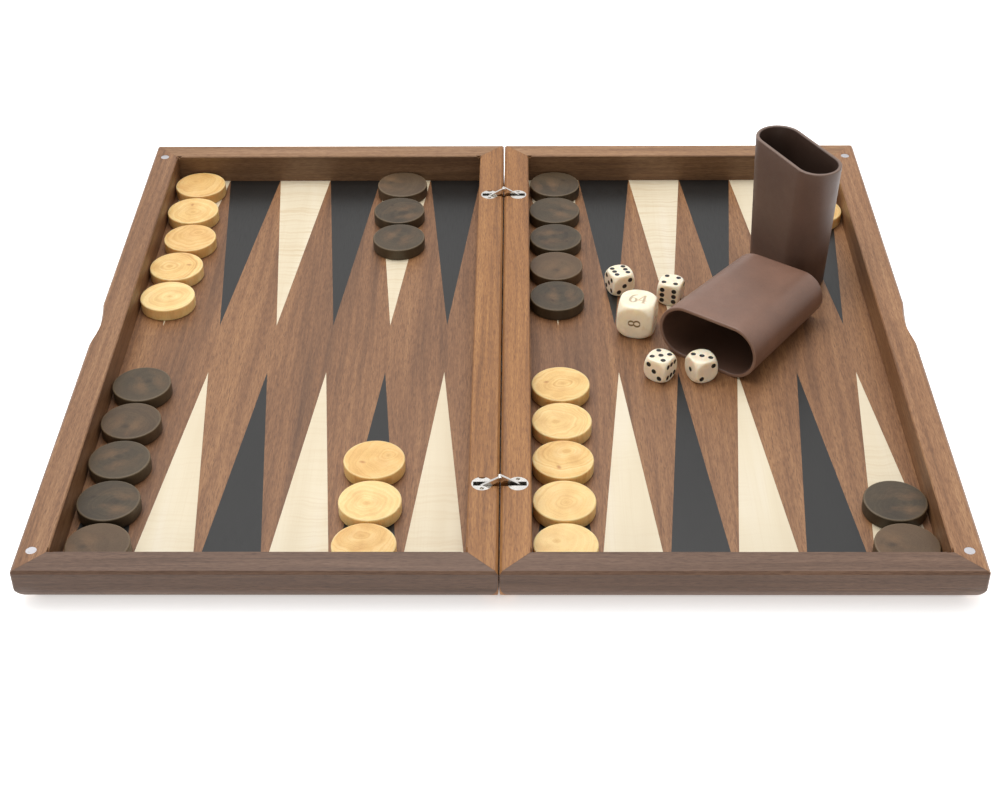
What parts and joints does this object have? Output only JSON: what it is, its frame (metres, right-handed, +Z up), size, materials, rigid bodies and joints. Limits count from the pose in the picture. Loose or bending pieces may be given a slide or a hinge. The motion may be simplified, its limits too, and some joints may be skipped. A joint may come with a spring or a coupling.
{
  "type": "backgammon set",
  "caption": "Folding wooden backgammon board, open flat, with round checkers, dice, a doubling cube and oval leather dice cups set out for play.",
  "frame": {"origin": "bottom centre of the open board, on the surface that it lies on", "axes": "+X to the right across the fold, +Y to the rear along the fold, +Z up"},
  "size_m": [0.523, 0.48, 0.0964],
  "materials": {
    "walnut_rails": "satin",
    "walnut_field": "satin",
    "maple_inlay": "satin",
    "black_inlay": "satin",
    "magnet_metal": "polished",
    "hinge_metal": "polished",
    "pin_steel": "satin",
    "boxwood": "satin",
    "dark_walnut": "satin",
    "ivory_resin": "gloss",
    "cup_leather": "satin"
  },
  "bodies": {
    "right_tray": {"right_front_rail": "walnut_rails", "right_rear_rail": "walnut_rails", "right_outer_rail": "walnut_rails", "right_hinge_rail": "walnut_rails", "right_base_panel": "walnut_field", "right_light_points": "maple_inlay", "right_dark_points": "black_inlay", "right_magnets": "magnet_metal", "right_hinge_barrels": "hinge_metal", "right_hinge_pins": "pin_steel"},
    "left_tray": {"left_front_rail": "walnut_rails", "left_rear_rail": "walnut_rails", "left_outer_rail": "walnut_rails", "left_hinge_rail": "walnut_rails", "left_base_panel": "walnut_field", "left_light_points": "maple_inlay", "left_dark_points": "black_inlay", "left_magnets": "magnet_metal", "left_hinge_barrels": "hinge_metal", "left_hinge_pins": "pin_steel"},
    "right_links": {"right_hinge_links": "hinge_metal"},
    "left_links": {"left_hinge_links": "hinge_metal"},
    "light_checker_1": {"light_checker_1": "boxwood"},
    "light_checker_2": {"light_checker_2": "boxwood"},
    "light_checker_3": {"light_checker_3": "boxwood"},
    "light_checker_4": {"light_checker_4": "boxwood"},
    "light_checker_5": {"light_checker_5": "boxwood"},
    "light_checker_6": {"light_checker_6": "boxwood"},
    "light_checker_7": {"light_checker_7": "boxwood"},
    "light_checker_8": {"light_checker_8": "boxwood"},
    "light_checker_9": {"light_checker_9": "boxwood"},
    "light_checker_10": {"light_checker_10": "boxwood"},
    "light_checker_11": {"light_checker_11": "boxwood"},
    "light_checker_12": {"light_checker_12": "boxwood"},
    "light_checker_13": {"light_checker_13": "boxwood"},
    "light_checker_14": {"light_checker_14": "boxwood"},
    "light_checker_15": {"light_checker_15": "boxwood"},
    "dark_checker_1": {"dark_checker_1": "dark_walnut"},
    "dark_checker_2": {"dark_checker_2": "dark_walnut"},
    "dark_checker_3": {"dark_checker_3": "dark_walnut"},
    "dark_checker_4": {"dark_checker_4": "dark_walnut"},
    "dark_checker_5": {"dark_checker_5": "dark_walnut"},
    "dark_checker_6": {"dark_checker_6": "dark_walnut"},
    "dark_checker_7": {"dark_checker_7": "dark_walnut"},
    "dark_checker_8": {"dark_checker_8": "dark_walnut"},
    "dark_checker_9": {"dark_checker_9": "dark_walnut"},
    "dark_checker_10": {"dark_checker_10": "dark_walnut"},
    "dark_checker_11": {"dark_checker_11": "dark_walnut"},
    "dark_checker_12": {"dark_checker_12": "dark_walnut"},
    "dark_checker_13": {"dark_checker_13": "dark_walnut"},
    "dark_checker_14": {"dark_checker_14": "dark_walnut"},
    "dark_checker_15": {"dark_checker_15": "dark_walnut"},
    "die_1": {"die_1": "ivory_resin"},
    "die_2": {"die_2": "ivory_resin"},
    "die_3": {"die_3": "ivory_resin"},
    "die_4": {"die_4": "ivory_resin"},
    "doubling_cube": {"doubling_cube": "ivory_resin"},
    "standing_dice_cup": {"standing_dice_cup": "cup_leather"},
    "lying_dice_cup": {"lying_dice_cup": "cup_leather"}
  },
  "joints": [
    {"name": "board_fold", "type": "hinge", "parent": "right_tray", "child": "left_tray", "pos_m": [0, 0, 0.02515], "axis": [0, 1, 0], "range_deg": [0, 180]},
    {"name": "right_links_swing", "type": "hinge", "parent": "right_tray", "child": "right_links", "pos_m": [0.0102, 0, 0.0234], "axis": [0, 1, 0], "range_deg": [0, 60.05]},
    {"name": "left_links_swing", "type": "hinge", "parent": "left_tray", "child": "left_links", "pos_m": [-0.0102, 0, 0.0234], "axis": [0, 1, 0], "range_deg": [-60.05, 0]},
    {"name": "standing_cup_lay_down", "type": "hinge", "parent": "right_tray", "child": "standing_dice_cup", "pos_m": [0.08479, 0.10875, 0.1156], "axis": [-0.6969, -0.1692, 0.6969], "range_deg": [0, 161]},
    {"name": "light_checker_1_lift", "type": "slide", "parent": "left_tray", "child": "light_checker_1", "axis": [0, 0, -1], "range_m": [-0.05, 0]},
    {"name": "light_checker_2_lift", "type": "slide", "parent": "left_tray", "child": "light_checker_2", "axis": [0, 0, -1], "range_m": [-0.05, 0]},
    {"name": "light_checker_3_lift", "type": "slide", "parent": "left_tray", "child": "light_checker_3", "axis": [0, 0, -1], "range_m": [-0.05, 0]},
    {"name": "light_checker_4_lift", "type": "slide", "parent": "left_tray", "child": "light_checker_4", "axis": [0, 0, -1], "range_m": [-0.05, 0]},
    {"name": "light_checker_5_lift", "type": "slide", "parent": "left_tray", "child": "light_checker_5", "axis": [0, 0, -1], "range_m": [-0.05, 0]},
    {"name": "light_checker_6_lift", "type": "slide", "parent": "left_tray", "child": "light_checker_6", "axis": [0, 0, -1], "range_m": [-0.05, 0]},
    {"name": "light_checker_7_lift", "type": "slide", "parent": "left_tray", "child": "light_checker_7", "axis": [0, 0, -1], "range_m": [-0.05, 0]},
    {"name": "light_checker_8_lift", "type": "slide", "parent": "left_tray", "child": "light_checker_8", "axis": [0, 0, -1], "range_m": [-0.05, 0]},
    {"name": "light_checker_9_lift", "type": "slide", "parent": "right_tray", "child": "light_checker_9", "axis": [0, 0, -1], "range_m": [-0.05, 0]},
    {"name": "light_checker_10_lift", "type": "slide", "parent": "right_tray", "child": "light_checker_10", "axis": [0, 0, -1], "range_m": [-0.05, 0]},
    {"name": "light_checker_11_lift", "type": "slide", "parent": "right_tray", "child": "light_checker_11", "axis": [0, 0, -1], "range_m": [-0.05, 0]},
    {"name": "light_checker_12_lift", "type": "slide", "parent": "right_tray", "child": "light_checker_12", "axis": [0, 0, -1], "range_m": [-0.05, 0]},
    {"name": "light_checker_13_lift", "type": "slide", "parent": "right_tray", "child": "light_checker_13", "axis": [0, 0, -1], "range_m": [-0.05, 0]},
    {"name": "light_checker_14_lift", "type": "slide", "parent": "right_tray", "child": "light_checker_14", "axis": [0, 0, -1], "range_m": [-0.05, 0]},
    {"name": "light_checker_15_lift", "type": "slide", "parent": "right_tray", "child": "light_checker_15", "axis": [0, 0, -1], "range_m": [-0.05, 0]},
    {"name": "dark_checker_1_lift", "type": "slide", "parent": "left_tray", "child": "dark_checker_1", "axis": [0, 0, -1], "range_m": [-0.05, 0]},
    {"name": "dark_checker_2_lift", "type": "slide", "parent": "left_tray", "child": "dark_checker_2", "axis": [0, 0, -1], "range_m": [-0.05, 0]},
    {"name": "dark_checker_3_lift", "type": "slide", "parent": "left_tray", "child": "dark_checker_3", "axis": [0, 0, -1], "range_m": [-0.05, 0]},
    {"name": "dark_checker_4_lift", "type": "slide", "parent": "left_tray", "child": "dark_checker_4", "axis": [0, 0, -1], "range_m": [-0.05, 0]},
    {"name": "dark_checker_5_lift", "type": "slide", "parent": "left_tray", "child": "dark_checker_5", "axis": [0, 0, -1], "range_m": [-0.05, 0]},
    {"name": "dark_checker_6_lift", "type": "slide", "parent": "left_tray", "child": "dark_checker_6", "axis": [0, 0, -1], "range_m": [-0.05, 0]},
    {"name": "dark_checker_7_lift", "type": "slide", "parent": "left_tray", "child": "dark_checker_7", "axis": [0, 0, -1], "range_m": [-0.05, 0]},
    {"name": "dark_checker_8_lift", "type": "slide", "parent": "left_tray", "child": "dark_checker_8", "axis": [0, 0, -1], "range_m": [-0.05, 0]},
    {"name": "dark_checker_9_lift", "type": "slide", "parent": "right_tray", "child": "dark_checker_9", "axis": [0, 0, -1], "range_m": [-0.05, 0]},
    {"name": "dark_checker_10_lift", "type": "slide", "parent": "right_tray", "child": "dark_checker_10", "axis": [0, 0, -1], "range_m": [-0.05, 0]},
    {"name": "dark_checker_11_lift", "type": "slide", "parent": "right_tray", "child": "dark_checker_11", "axis": [0, 0, -1], "range_m": [-0.05, 0]},
    {"name": "dark_checker_12_lift", "type": "slide", "parent": "right_tray", "child": "dark_checker_12", "axis": [0, 0, -1], "range_m": [-0.05, 0]},
    {"name": "dark_checker_13_lift", "type": "slide", "parent": "right_tray", "child": "dark_checker_13", "axis": [0, 0, -1], "range_m": [-0.05, 0]},
    {"name": "dark_checker_14_lift", "type": "slide", "parent": "right_tray", "child": "dark_checker_14", "axis": [0, 0, -1], "range_m": [-0.05, 0]},
    {"name": "dark_checker_15_lift", "type": "slide", "parent": "right_tray", "child": "dark_checker_15", "axis": [0, 0, -1], "range_m": [-0.05, 0]},
    {"name": "die_1_lift", "type": "slide", "parent": "right_tray", "child": "die_1", "axis": [0, 0, -1], "range_m": [-0.05, 0]},
    {"name": "die_2_lift", "type": "slide", "parent": "right_tray", "child": "die_2", "axis": [0, 0, -1], "range_m": [-0.05, 0]},
    {"name": "die_3_lift", "type": "slide", "parent": "right_tray", "child": "die_3", "axis": [0, 0, -1], "range_m": [-0.05, 0]},
    {"name": "die_4_lift", "type": "slide", "parent": "right_tray", "child": "die_4", "axis": [0, 0, -1], "range_m": [-0.05, 0]},
    {"name": "doubling_cube_lift", "type": "slide", "parent": "right_tray", "child": "doubling_cube", "axis": [0, 0, -1], "range_m": [-0.05, 0]},
    {"name": "lying_dice_cup_lift", "type": "slide", "parent": "right_tray", "child": "lying_dice_cup", "axis": [0, 0, -1], "range_m": [-0.05, 0]}
  ],
  "couplings": [
    {"joint": "right_links_swing", "follows": "board_fold", "ratio": 0.33308},
    {"joint": "left_links_swing", "follows": "board_fold", "ratio": -0.33308},
    {"joint": "standing_cup_lay_down", "follows": "board_fold", "ratio": 0.89327}
  ]
}
